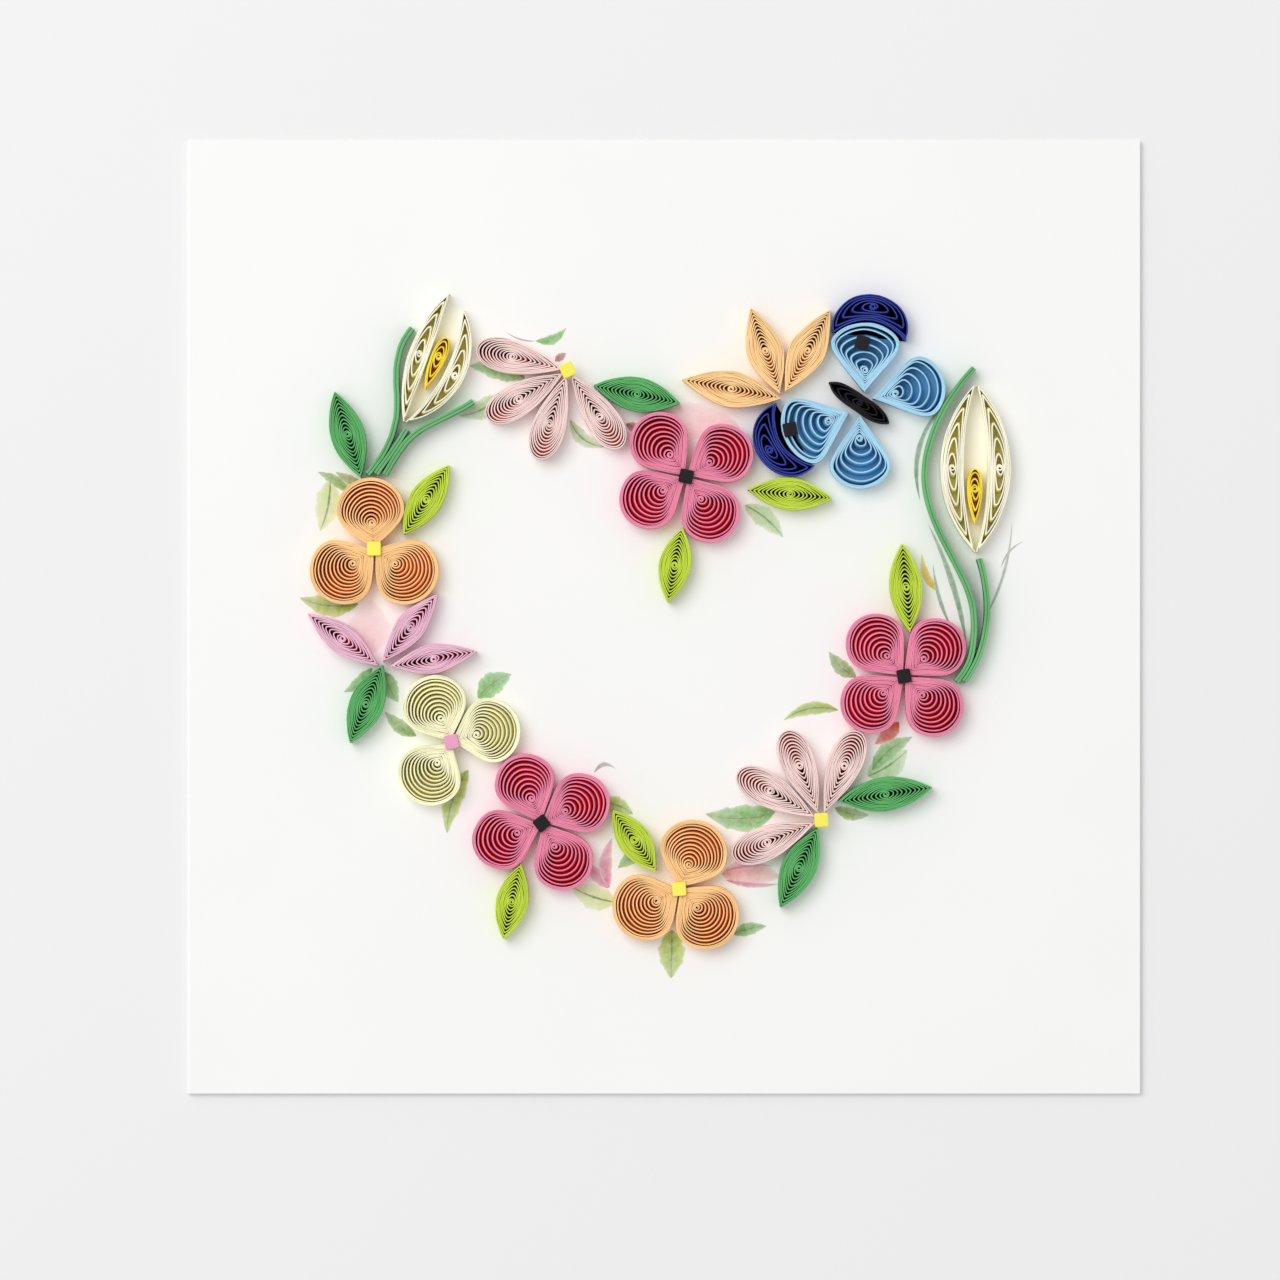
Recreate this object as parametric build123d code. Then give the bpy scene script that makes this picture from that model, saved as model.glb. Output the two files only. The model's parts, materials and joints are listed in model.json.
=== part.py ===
from build123d import *
from dataclasses import dataclass
from math import copysign, cos, hypot, pi, radians, sin, sqrt, tan
import os

# A heart-shaped wreath of quilled paper on a folded square card, lying on its back panel.
# Lengths are millimetres, headings are degrees counted from +X towards +Y.

# Folded card
card_side = 152.4
card_sheet = 0.35
card_opening = 0.4

# Paper strips and how they are wound and glued
strip_height = 3.0
strip_thickness = 0.14
turn_clearance = 0.04
eye_radius = 0.45
glue_film = 0.05
piece_gap = 0.14

# Turns of a coil: at most in all, side by side in the border of a wide or a slim coil, and inside the eye.
# The turns that fan out lie aslant, so they are spread more than those in the border.
coil_turns = 14
wide_border_turns = 3
slim_border_turns = 1
core_turns = 1.5
fan_spread = 1.2

# Petals of the flowers
pink_petal_length = 11.4
pink_petal_width = 10.2
orange_petal_length = 11.2
orange_petal_width = 11.0
cream_petal_length = 10.9
cream_petal_width = 10.7
daisy_petal_length = 14.0
daisy_petal_width = 5.4
apricot_petal_length = 14.8
apricot_petal_width = 5.8
lilac_petal_length = 13.9
lilac_petal_width = 4.7

# Leaves
dark_leaf_length = 14.0
dark_leaf_width = 5.4
light_leaf_length = 13.2
light_leaf_width = 5.1

# Calla flowers: two bent halves round a yellow spadix
right_calla_length = 28.0
right_calla_width = 3.7
left_calla_length = 22.0
left_calla_width = 3.2
spadix_length = 8.8
spadix_width = 2.4

# Stems and grass blades
stem_thickness = 0.8
stem_spacing = 1.0

# Butterfly
fore_wing_length = 11.0
fore_wing_width = 12.8
hind_wing_length = 11.7
hind_wing_width = 11.4
wing_tip_length = 16.5
wing_tip_width = 4.2
body_length = 11.6
body_width = 2.7

# Small squares on top of the flowers and the fore wings
square_side = 2.2
square_thickness = 0.5

# The wreath's overall width sets the places, which are pixels of a square picture of it
wreath_width = 113.1
wreath_width_px = 707
card_middle_px = (663.5, 617)

# How a coil is drawn: points a turn, steps of the search for its border, discs along its axis
turn_steps = 24
halvings = 14
disc_count = 12
disc_ring_share = 0.6
stem_steps = 60
corner_limit = 2

# Places of the eyes, as shares of the piece's length from its pinched tip
wide_eye_share = 0.35
daisy_eye_share = 0.58
middle_eye_share = 0.5
wing_eye_share = 0.31
spadix_eye_share = 0.62

# Angles between the axis of a wide coil and its straight sides, and how squarely these meet its round end
pink_side_angle = 43
orange_side_angle = 53
cream_side_angle = 51
fore_wing_side_angle = 40
hind_wing_side_angle = 35
side_squareness = 6

# Pinch of a slim drop: larger is sharper. Fullness of a coil pinched twice: larger is blunter.
# Loosening: how much of the pinch the turns lose on their way in to the eye.
daisy_pinch = 1.0
spadix_pinch = 0.8
drop_loosening = 0.12
lens_loosening = 0.9
leaf_fullness = 1.9
tulip_fullness = 1.6
crescent_fullness = 2.5
body_fullness = 4

turn_pitch = strip_thickness + turn_clearance
card_height = 2 * card_sheet + card_opening
coil_base = card_height + glue_film
square_base = coil_base + strip_height + glue_film
px = wreath_width / wreath_width_px
outline_turns = [pi * step / (8 * turn_steps) for step in range(16 * turn_steps)]


@dataclass
class Form:
    """A quilled shape before it is placed: outline from its tip, the same before pinching, and its eye."""
    outline: list
    round_outline: list
    length: float
    eye: tuple
    pinches: int
    loosening: float
    bend: float
    pitch: float
    border_turns: float


@dataclass
class Piece:
    """A strip in its place: its middle line, the steps where its curves end, and discs that fill it."""
    path: list
    breaks: list
    discs: list
    thickness: float = strip_thickness


def drop_form(length, width, heights, eye_share, border_turns):
    """Form of a round coil that was pinched once."""
    return coil_form(length, width, heights, (eye_share, 1, drop_loosening, border_turns), 0)


def coil_form(length, width, heights, make, bend):
    """Form of a round coil that was pinched to the given heights along its outline.

    A bend brings the turns closer together on its inner side, so they are wound that much further apart.
    """
    outline, round_outline = [], []
    for turn, height in zip(outline_turns, heights):
        x = length * (1 - cos(turn)) / 2
        outline.append((x, copysign(height, sin(turn))))
        round_outline.append((x, width / 2 * sin(turn)))
    pitch = turn_pitch / (1 - width / 2 * abs(radians(bend)) / length)
    eye_share, pinches, loosening, border = make
    eye = (eye_share * length, 0)
    return Form(outline, round_outline, length, eye, pinches, loosening, bend, pitch, border)


def fan_drop(length, width, side_angle, eye_share):
    """Round coil pinched to a tip between straight sides; its width is that of the round coil."""
    heights = []
    for turn in outline_turns:
        side = length * (1 - cos(turn)) / 2 * tan(radians(side_angle))
        bulge = width / 2 * abs(sin(turn))
        power = side_squareness
        heights.append(side / (1 + (side / bulge) ** power) ** (1 / power) if bulge else 0)
    return drop_form(length, width, heights, eye_share, wide_border_turns)


def drop(length, width, pinch, eye_share):
    """Slim drop pinched at its tip and round at its far end."""
    spread = [abs(sin(turn)) * abs(sin(turn / 2)) ** pinch for turn in outline_turns]
    heights = [width / 2 * share / max(spread) for share in spread]
    return drop_form(length, width, heights, eye_share, slim_border_turns)


def lens(length, width, fullness=leaf_fullness, bend=0):
    """Coil pinched at both ends, which may be bent into an arc."""
    heights = [width / 2 * (1 - abs(cos(turn)) ** fullness) for turn in outline_turns]
    return coil_form(length, width, heights, (middle_eye_share, 2, lens_loosening, slim_border_turns), bend)


def room_at(form, point):
    """Distance from a point inside a form to its outline."""
    return min(hypot(x - point[0], y - point[1]) for x, y in form.outline)


def between(start, end, share):
    """Place at a share of the way from one place to another."""
    return (start[0] + (end[0] - start[0]) * share, start[1] + (end[1] - start[1]) * share)


def inset_point(form, start, end, inset):
    """Place on the way in from the outline that lies an inset inside it."""
    low, high = 0, 1
    for _ in range(halvings):
        middle = (low + high) / 2
        if room_at(form, between(start, end, middle)) < inset:
            low = middle
        else:
            high = middle
    return between(start, end, high)


def eye_point(form, turn, radius):
    """Place round the eye, counted from the side of the tip."""
    return (form.eye[0] - radius * cos(turn), form.eye[1] + radius * sin(turn))


def wind(form):
    """Middle line of the strip, wound from the outline in to the round eye and on to its core.

    The first turns lie side by side as a border. The next ones fan out over the room that is left, each
    point on its straight way to the eye, and are less pinched the further in they lie.
    """
    every = len(form.outline) // turn_steps
    turns = outline_turns[::every]
    outer, loose = form.outline[::every], form.round_outline[::every]
    eye = [eye_point(form, turn, eye_radius) for turn in turns]
    room = room_at(form, form.eye) - eye_radius
    border = min(form.border_turns, room / 2 / form.pitch)
    fan_turns = min(coil_turns - border, (room - border * form.pitch) / (fan_spread * form.pitch))
    inner = [inset_point(form, start, end, border * form.pitch) for start, end in zip(outer, eye)]
    path = []
    for step in range(round(turn_steps * (border + fan_turns + core_turns)) + 1):
        place = step % turn_steps
        share = (step / turn_steps - border) / fan_turns
        if share < 0:
            point = between(inner[place], outer[place], -share * fan_turns / border)
        elif share < 1:
            (x, y), (x0, y0), (x1, y1) = inner[place], outer[place], loose[place]
            pull = form.loosening * share
            point = between((x + pull * (x1 - x0), y + pull * (y1 - y0)), eye[place], share)
        else:
            point = eye_point(form, turns[place], eye_radius - (share - 1) * fan_turns * turn_pitch)
        path.append(point)
    return path


def curve_breaks(form, count):
    """Steps where a coil's curves end: at the sharp tips of its border, and then between the tips."""
    span = turn_steps // form.pinches
    sharp_tips = int(form.border_turns * form.pinches)
    tips = [span * tip for tip in range(sharp_tips + 1)]
    return [*tips, *range(tips[-1] + span // 2, count - span // 2, span), count - 1]


def filling_discs(form):
    """Discs that fill a form: along its axis and round its eye, each as large as its outline allows."""
    ring = form.outline[::len(form.outline) // disc_count]
    centres = [(form.length * station / disc_count, 0) for station in range(disc_count + 1)]
    centres += [between(form.eye, point, disc_ring_share) for point in ring]
    return [(*centre, room_at(form, centre) + strip_thickness / 2) for centre in centres]


def bent(form, point):
    """Carry a point onto the form's arc, with the tip at zero and the chord along +X."""
    if form.bend == 0:
        return point
    x, y = point
    radius = form.length / radians(form.bend)
    turn = (x - form.length / 2) / radius
    end = radians(form.bend) / 2
    return (radius * sin(end) + (radius - y) * sin(turn), radius * cos(end) - (radius - y) * cos(turn))


def placed(form, tip, heading):
    """Wind a form with its tip at a place and its chord along a heading."""
    c, s = cos(radians(heading)), sin(radians(heading))

    def put(point):
        x, y = bent(form, point)
        return (tip[0] + c * x - s * y, tip[1] + s * x + c * y)

    path = [put(point) for point in wind(form)]
    discs = [(*put((x, y)), r) for x, y, r in filling_discs(form)]
    return Piece(path, curve_breaks(form, len(path)), discs)


def beside(place, distance, heading):
    """Place at a distance along a heading."""
    return (place[0] + distance * cos(radians(heading)), place[1] + distance * sin(radians(heading)))


def shifted(piece, distance, heading):
    """Move a piece along a heading."""
    path = [beside(point, distance, heading) for point in piece.path]
    discs = [(*beside((x, y), distance, heading), r) for x, y, r in piece.discs]
    return Piece(path, piece.breaks, discs, piece.thickness)


def blocked_runs(discs, heading, others):
    """Stretches of a move along a heading in which discs come nearer than the piece gap to others."""
    c, s = cos(radians(heading)), sin(radians(heading))
    blocked = []
    for x, y, r in discs:
        for a, b, q in (disc for other in others for disc in other.discs):
            along = (a - x) * c + (b - y) * s
            across = (b - y) * c - (a - x) * s
            room = (r + q + piece_gap) ** 2 - across ** 2
            if room > 0:
                blocked.append((along - sqrt(room), along + sqrt(room)))
    return sorted(blocked)


def clear_distance(discs, heading, others):
    """Shortest move along a heading that leaves the piece gap to every other piece."""
    distance = 0
    for start, end in blocked_runs(discs, heading, others):
        if start < distance < end:
            distance = end
    return distance


def settled(pieces, heading, others):
    """Slide pieces together along a heading until they clear the others."""
    discs = [disc for piece in pieces for disc in piece.discs]
    distance = clear_distance(discs, heading, others)
    return [shifted(piece, distance, heading) for piece in pieces]


def spot(place_px):
    """Place on the card of a pixel of the picture."""
    return ((place_px[0] - card_middle_px[0]) * px, (card_middle_px[1] - place_px[1]) * px)


def hub_distance(form, headings):
    """Distance from a flower's middle to its petal tips that keeps each petal in its own sector."""
    ring = sorted(heading % 360 for heading in headings)
    sectors = [(after - before) % 360 for before, after in zip(ring, ring[1:] + ring[:1])]
    half = radians(min(sectors) / 2)
    edge = (strip_thickness + piece_gap) / 2
    return max((edge + abs(y) * cos(half)) / sin(half) - x for x, y in form.outline)


def flower(form, middle, headings):
    """Petals round a flower's middle."""
    hub = hub_distance(form, headings)
    return [placed(form, beside(middle, hub, heading), heading) for heading in headings]


def fan(size, places_px):
    """Petals that start close together, each moved out until it clears the ones before."""
    length, width = size
    petals = []
    for tip_px, heading, share in places_px:
        petal = lens(share * length, width, tulip_fullness)
        petals += settled([placed(petal, spot(tip_px), heading)], heading, petals)
    return petals


def stem(foot, route_px):
    """Strip on edge from its foot through the places of its route."""
    curve = Spline(foot, *[spot(place_px) for place_px in route_px])
    path = [tuple(curve @ (step / stem_steps))[:2] for step in range(stem_steps + 1)]
    return Piece(path, [0, stem_steps], [(x, y, stem_thickness / 2) for x, y in path], stem_thickness)


def wall_sides(piece):
    """Left and right side of a strip, offset from its middle line and mitred at its corners."""
    runs = []
    for (x0, y0), (x1, y1) in zip(piece.path, piece.path[1:]):
        run = hypot(x1 - x0, y1 - y0)
        runs.append(((x1 - x0) / run, (y1 - y0) / run))
    left, right = [], []
    for (x, y), (ax, ay), (bx, by) in zip(piece.path, runs[:1] + runs, runs + runs[-1:]):
        turn = max(hypot(ax + bx, ay + by), 2 / corner_limit)
        reach = piece.thickness / turn
        nx, ny = -(ay + by) / hypot(ax + bx, ay + by), (ax + bx) / hypot(ax + bx, ay + by)
        left.append((x + nx * reach, y + ny * reach))
        right.append((x - nx * reach, y - ny * reach))
    return left, right


def curves(points, breaks):
    """Smooth curves through the points from break to break."""
    return [Edge.make_spline([Vector(*point) for point in points[start:end + 1]])
            for start, end in zip(breaks, breaks[1:])]


def strip_solid(piece):
    """Upright wall of a strip along its path."""
    left, right = wall_sides(piece)
    ends = [Edge.make_line(left[-1], right[-1]), Edge.make_line(right[0], left[0])]
    wire = Wire(curves(left, piece.breaks) + ends + curves(right, piece.breaks))
    return Pos(0, 0, coil_base) * Solid.extrude(Face(wire), Vector(0, 0, strip_height))


def square_solid(middle, heading):
    """Small paper square glued on top."""
    pad = Box(square_side, square_side, square_thickness, align=(Align.CENTER, Align.CENTER, Align.MIN))
    return Pos(*middle, square_base) * Rot(0, 0, heading) * pad


def card_solid():
    """One sheet folded at the left edge, with its two panels closed over a narrow opening."""
    edge = card_side / 2
    fold = card_height / 2 - edge
    bore = card_opening / 2
    lower, upper = card_sheet, card_height - card_sheet
    wire = Wire([
        Edge.make_line((edge, 0, 0), (fold, 0, 0)),
        Edge.make_three_point_arc((fold, 0, 0), (-edge, 0, card_height / 2), (fold, 0, card_height)),
        Edge.make_line((fold, 0, card_height), (edge, 0, card_height)),
        Edge.make_line((edge, 0, card_height), (edge, 0, upper)),
        Edge.make_line((edge, 0, upper), (fold, 0, upper)),
        Edge.make_three_point_arc((fold, 0, upper), (fold - bore, 0, card_height / 2), (fold, 0, lower)),
        Edge.make_line((fold, 0, lower), (edge, 0, lower)),
        Edge.make_line((edge, 0, lower), (edge, 0, 0)),
    ])
    return Pos(0, -edge, 0) * Solid.extrude(Face(wire), Vector(0, card_side, 0))


# Flowers with petals all round: middle, petal headings, and the heading in which it makes room
pink_petal = fan_drop(pink_petal_length, pink_petal_width, pink_side_angle, wide_eye_share)
orange_petal = fan_drop(orange_petal_length, orange_petal_width, orange_side_angle, wide_eye_share)
cream_petal = fan_drop(cream_petal_length, cream_petal_width, cream_side_angle, wide_eye_share)
daisy_petal = drop(daisy_petal_length, daisy_petal_width, daisy_pinch, daisy_eye_share)
flower_places_px = {
    "pink_right": (pink_petal, (903, 676), (130, 41, 219, 314), 0),
    "pink_top": (pink_petal, (697, 475), (127, 31, 211, 303), 190),
    "daisy_left": (daisy_petal, (568, 371), (166.5, 210.5, 251.5, 304.5), 160),
    "orange_left": (orange_petal, (375, 549), (95, 215, 324), 200),
    "cream": (cream_petal, (450, 733), (115, 16, 236), 285),
    "pink_low": (pink_petal, (534, 811), (112.6, 202, 299, 27), 305),
    "orange_low": (orange_petal, (679, 888), (68, 208, 314), 270),
    "daisy_right": (daisy_petal, (826, 810), (202.8, 150.5, 112, 67), 240),
}

# Tulips: tip, heading and share of the length of each petal, and the heading in which the flower makes room
apricot_size = (apricot_petal_length, apricot_petal_width)
lilac_size = (lilac_petal_length, lilac_petal_width)
tulip_places_px = {
    "apricot_tulip": (apricot_size, (((780, 399), 169.2, 1.08), ((779.5, 394), 108.9, 0.97),
                                     ((782, 398), 61.5, 1.0)), 200),
    "lilac_tulip": (lilac_size, (((376, 660), 144, 1.0), ((381, 657), 51, 1.0), ((389, 662), 10, 1.0)), 300),
}

# Leaves: tip beside the flower, heading, and share of the leaf's length
dark_leaf_places_px = {
    "leaf_calla_left": ((363, 482), 107, 1.02),
    "leaf_lilac": ((382.5, 665), 248, 0.96),
    "leaf_daisy_left": ((586, 385), -11.3, 1.0),
    "leaf_daisy_right_upper": ((838, 801), 8.5, 1.08),
    "leaf_daisy_right_lower": ((819, 823), 244.9, 1.0),
}
light_leaf_places_px = {
    "leaf_orange_left": ((403, 537), 57, 1.0),
    "leaf_pink_low": ((523, 853), 257.2, 0.93),
    "leaf_orange_low": ((656, 870), 125.5, 0.9),
    "leaf_pink_right": ((910, 638), 95.2, 1.07),
    "leaf_pink_top_right": ((743, 490), -5.8, 1.02),
    "leaf_pink_top_lower": ((684, 515), 259.4, 0.92),
}

# Callas: foot, and for the left and the right half the chord's heading and the bend
right_calla_foot_px = (974, 552)
right_calla_halves = ((90, -61), (90, 61))
right_spadix_foot_px = (974, 524)
right_spadix_heading = 90
left_calla_foot_px = (405, 422)
left_calla_halves = ((70.5, -28), (63.4, 79))
left_spadix_foot_px = (421, 401)
left_spadix_heading = 67

# Stems: heading from the flower's middle to the first foot, routes from the foot to the head, and the
# heading in which each strand makes room
right_stem_heading = -6
right_stem_routes_px = (
    ((967, 664), (973, 635), (972, 608), (947, 549), (924, 480), (944, 408), (973, 369)),
    ((981, 637), (984, 606), (976, 559)),
)
right_stem_room_headings = (0, 0)
left_stem_heading = 95
left_stem_routes_px = (
    ((386, 450), (396, 423), (397, 370), (413, 329)),
    ((391, 451), (405, 430)),
    ((394, 453), (408, 436), (436, 419), (469, 401)),
)
left_stem_room_headings = (180, 0, -10)

# Butterfly: tip and heading of the body and the wings. The wing tips are turned from their wings by place
# and by chord. A spot lies at a share of its wing's length and is turned from the wing's heading.
body_tip_px = (831, 385)
body_heading = -34
fore_wing_places_px = (((866.5, 394), 89), ((850, 414), 203))
hind_wing_places_px = (((875, 401), 14), ((861, 416), 271))
wing_tip_bend = 158
wing_tip_turns = ((-4, -5), (0, 9))
wing_spots = ((0.71, 4), (0.88, -6))
butterfly_room_heading = 150

# Squares on top, by colour, with their headings
black_square_headings = {"pink_right": 10, "pink_top": -12, "pink_low": 38}
yellow_square_headings = {"orange_left": 0, "orange_low": 5, "daisy_left": 25, "daisy_right": 2}
pink_square_headings = {"cream": 12}
wing_spot_headings = (-15, 12)


class Wreath:
    """The glued pieces by node name, the middles of the flowers and the spots of the wings."""

    def __init__(self):
        self.nodes = {}
        self.middles = {}
        self.wing_spots = []

    def glued(self):
        return [piece for pieces in self.nodes.values() for piece in pieces]

    def glue(self, node, pieces, heading):
        """Slide pieces along a heading until they clear what is there, and glue them down."""
        pieces = settled(pieces, heading, self.glued())
        self.nodes.setdefault(node, []).extend(pieces)
        return pieces

    def plant_flower(self, name):
        """Petals round a middle, moved together to make room."""
        form, middle_px, headings, room_heading = flower_places_px[name]
        petals = flower(form, spot(middle_px), headings)
        self.glue_petals(name, petals, spot(middle_px), room_heading)

    def plant_tulip(self, name):
        """Petals in a fan, moved together to make room."""
        size, places_px, room_heading = tulip_places_px[name]
        self.glue_petals(name, fan(size, places_px), spot(places_px[0][0]), room_heading)

    def glue_petals(self, name, petals, middle, room_heading):
        """Slide petals together until they clear what is there, and glue each as its own node."""
        discs = [disc for petal in petals for disc in petal.discs]
        distance = clear_distance(discs, room_heading, self.glued())
        self.middles[name] = beside(middle, distance, room_heading)
        for number, petal in enumerate(petals, 1):
            self.nodes[f"{name}_petal_{number}"] = [shifted(petal, distance, room_heading)]

    def plant_calla(self, side, form_size, foot_px, halves, spadix_foot_px, spadix_heading):
        """Two bent halves and the spadix between them."""
        length, width = form_size
        (left_heading, left_bend), (right_heading, right_bend) = halves
        left = placed(lens(length, width, bend=left_bend), spot(foot_px), left_heading)
        self.glue(f"calla_{side}_spathe", [left], left_heading - 90)
        right = placed(lens(length, width, bend=right_bend), spot(foot_px), right_heading)
        self.glue(f"calla_{side}_spathe", [right], right_heading - 90)
        spadix = drop(spadix_length, spadix_width, spadix_pinch, spadix_eye_share)
        pieces = [placed(spadix, spot(spadix_foot_px), spadix_heading)]
        self.glue("calla_spadices", pieces, spadix_heading)

    def notch(self, flower_name, heading):
        """Place for a stem's foot just past a flower's petals, along a heading from its middle."""
        middle = self.middles[flower_name]
        petals = [pieces[0] for node, pieces in self.nodes.items() if node.startswith(flower_name)]
        runs = blocked_runs([(*middle, stem_thickness / 2)], heading, petals)
        return beside(middle, max(end for start, end in runs), heading)

    def plant_stems(self, node, flower_name, heading, routes_px, room_headings):
        """Strands whose feet stand side by side just past a flower's petals."""
        foot = self.notch(flower_name, heading)
        for number, (route_px, room_heading) in enumerate(zip(routes_px, room_headings)):
            self.glue(node, [stem(beside(foot, number * stem_spacing, 0), route_px)], room_heading)

    def plant_butterfly(self):
        """Body, wings that clear it and each other, and wing tips that hug the fore wings."""
        pieces = {"butterfly_body": [placed(lens(body_length, body_width, body_fullness),
                                            spot(body_tip_px), body_heading)]}
        fore_wing = fan_drop(fore_wing_length, fore_wing_width, fore_wing_side_angle, wing_eye_share)
        hind_wing = fan_drop(hind_wing_length, hind_wing_width, hind_wing_side_angle, wing_eye_share)
        tip_form = lens(wing_tip_length, wing_tip_width, crescent_fullness, wing_tip_bend)
        chord = bent(tip_form, (wing_tip_length, 0))[0]

        def add(node, form, tip, heading, slide_heading):
            others = [piece for group in pieces.values() for piece in group]
            wings = settled([placed(form, tip, heading)], slide_heading, others)
            pieces.setdefault(node, []).extend(wings)
            return wings[0]

        spots = []
        places = zip(fore_wing_places_px, wing_tip_turns, wing_spots)
        for (tip_px, heading), turns, (share, spot_turn) in places:
            wing = add("butterfly_fore_wings", fore_wing, spot(tip_px), heading, heading)
            tip = wing.discs[0][:2]
            spots.append(beside(tip, share * fore_wing_length, heading + spot_turn))
            place_heading, chord_heading = heading + turns[0], heading + turns[1] + 90
            start = beside(beside(tip, fore_wing_length / 2, place_heading), -chord / 2, chord_heading)
            add("butterfly_wing_tips", tip_form, start, chord_heading, place_heading)
        for tip_px, heading in hind_wing_places_px:
            add("butterfly_hind_wings", hind_wing, spot(tip_px), heading, heading)
        everything = [disc for group in pieces.values() for piece in group for disc in piece.discs]
        distance = clear_distance(everything, butterfly_room_heading, self.glued())
        for node, group in pieces.items():
            self.nodes[node] = [shifted(piece, distance, butterfly_room_heading) for piece in group]
        self.wing_spots = [beside(place, distance, butterfly_room_heading) for place in spots]

    def plant_leaves(self, places_px, length, width):
        """Leaves slid out along their own heading until they clear the flowers."""
        for node, (tip_px, heading, length_share) in places_px.items():
            leaf = placed(lens(length_share * length, width), spot(tip_px), heading)
            self.glue(node, [leaf], heading)


def lay_out():
    """Glue the wreath down in the order in which the pieces make room for each other."""
    wreath = Wreath()
    wreath.plant_flower("pink_right")
    wreath.plant_stems("stems_right", "pink_right", right_stem_heading, right_stem_routes_px,
                       right_stem_room_headings)
    right_calla_size = (right_calla_length, right_calla_width)
    wreath.plant_calla("right", right_calla_size, right_calla_foot_px, right_calla_halves,
                       right_spadix_foot_px, right_spadix_heading)
    wreath.plant_butterfly()
    wreath.plant_tulip("apricot_tulip")
    wreath.plant_flower("pink_top")
    wreath.plant_flower("daisy_left")
    wreath.plant_flower("orange_left")
    wreath.plant_stems("stems_left", "orange_left", left_stem_heading, left_stem_routes_px,
                       left_stem_room_headings)
    left_calla_size = (left_calla_length, left_calla_width)
    wreath.plant_calla("left", left_calla_size, left_calla_foot_px, left_calla_halves,
                       left_spadix_foot_px, left_spadix_heading)
    wreath.plant_tulip("lilac_tulip")
    wreath.plant_flower("cream")
    wreath.plant_flower("pink_low")
    wreath.plant_flower("orange_low")
    wreath.plant_flower("daisy_right")
    wreath.plant_leaves(dark_leaf_places_px, dark_leaf_length, dark_leaf_width)
    wreath.plant_leaves(light_leaf_places_px, light_leaf_length, light_leaf_width)
    return wreath


def squares(wreath, headings):
    """Squares on the middles of flowers."""
    return [square_solid(wreath.middles[name], heading) for name, heading in headings.items()]


def main():
    wreath = lay_out()
    solids = {"card": [card_solid()]}
    for node, pieces in wreath.nodes.items():
        solids[node] = [strip_solid(piece) for piece in pieces]
    spots = [square_solid(place, heading) for place, heading in zip(wreath.wing_spots, wing_spot_headings)]
    solids["squares_black"] = squares(wreath, black_square_headings) + spots
    solids["squares_yellow"] = squares(wreath, yellow_square_headings)
    solids["squares_pink"] = squares(wreath, pink_square_headings)
    os.makedirs("parts", exist_ok=True)
    for node, group in solids.items():
        export_step(Compound(group), f"parts/{node}.step")
    print(len(solids), "nodes")


if __name__ == "__main__":
    main()
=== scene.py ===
# %% [markdown]
# # Quilled paper wreath
# A square greeting card carries a heart-shaped wreath of quilled paper.
# Quilling is rolling a narrow strip of paper into a loose coil, pinching the coil to shape and gluing it
# down on its edge, so what shows from above is the thin cut edge of the paper and the gaps between turns.
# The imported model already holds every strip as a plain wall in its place.
# This script turns those walls into paper: soft cut edges, uneven heights, fibres and colour.

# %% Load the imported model
import json
import math
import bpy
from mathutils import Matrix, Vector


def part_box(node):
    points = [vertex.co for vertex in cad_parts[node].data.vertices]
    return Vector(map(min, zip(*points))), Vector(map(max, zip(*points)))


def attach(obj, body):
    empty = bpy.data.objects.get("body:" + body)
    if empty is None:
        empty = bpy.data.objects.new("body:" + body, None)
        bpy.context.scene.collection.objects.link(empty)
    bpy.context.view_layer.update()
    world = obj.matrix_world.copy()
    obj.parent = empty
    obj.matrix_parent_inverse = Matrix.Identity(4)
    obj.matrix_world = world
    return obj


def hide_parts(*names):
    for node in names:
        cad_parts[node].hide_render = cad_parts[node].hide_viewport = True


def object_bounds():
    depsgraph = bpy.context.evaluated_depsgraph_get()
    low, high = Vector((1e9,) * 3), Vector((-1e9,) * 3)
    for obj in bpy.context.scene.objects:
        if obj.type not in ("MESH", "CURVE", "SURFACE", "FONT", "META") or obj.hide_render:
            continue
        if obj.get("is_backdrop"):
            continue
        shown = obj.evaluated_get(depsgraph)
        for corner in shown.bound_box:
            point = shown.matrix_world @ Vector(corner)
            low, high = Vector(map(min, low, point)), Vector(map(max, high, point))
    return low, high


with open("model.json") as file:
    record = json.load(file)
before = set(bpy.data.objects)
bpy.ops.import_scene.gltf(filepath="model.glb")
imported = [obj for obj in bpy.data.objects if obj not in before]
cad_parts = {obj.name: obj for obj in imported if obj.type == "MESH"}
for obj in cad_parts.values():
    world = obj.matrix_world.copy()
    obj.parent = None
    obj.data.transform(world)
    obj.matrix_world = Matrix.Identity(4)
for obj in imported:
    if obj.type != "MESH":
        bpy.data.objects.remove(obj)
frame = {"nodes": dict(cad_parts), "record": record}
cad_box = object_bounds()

import zlib
import bpy
import numpy as np

MM = 0.001
slot_of = {part["node"]: part["material_slot"] for part in frame["record"]["subparts"]}
print(len(slot_of), "nodes in", len(set(slot_of.values())), "material slots")

# %% [markdown]
# ## The picture's frame
# The photograph looks straight down on the card, which fills three quarters of the picture.
# The card's width in pixels and its real width give the size of one pixel, and from then on any place in
# the picture can be found on the card.

# %% Find the card in the picture
PICTURE_PX = 1280
CARD_WIDTH_PX = 953
CARD_MIDDLE_PX = (663.5, 617)

card_low, card_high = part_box("card")
pixel = (card_high.x - card_low.x) / CARD_WIDTH_PX
card_top = card_high.z


def on_card(place_px):
    """Place on the card, in metres, of a pixel of the picture: right is +X and up is +Y."""
    return ((place_px[0] - CARD_MIDDLE_PX[0]) * pixel, (CARD_MIDDLE_PX[1] - place_px[1]) * pixel)


print(f"one pixel is {pixel / MM:.3f} mm, the card's top lies at {card_top / MM:.2f} mm")

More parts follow.
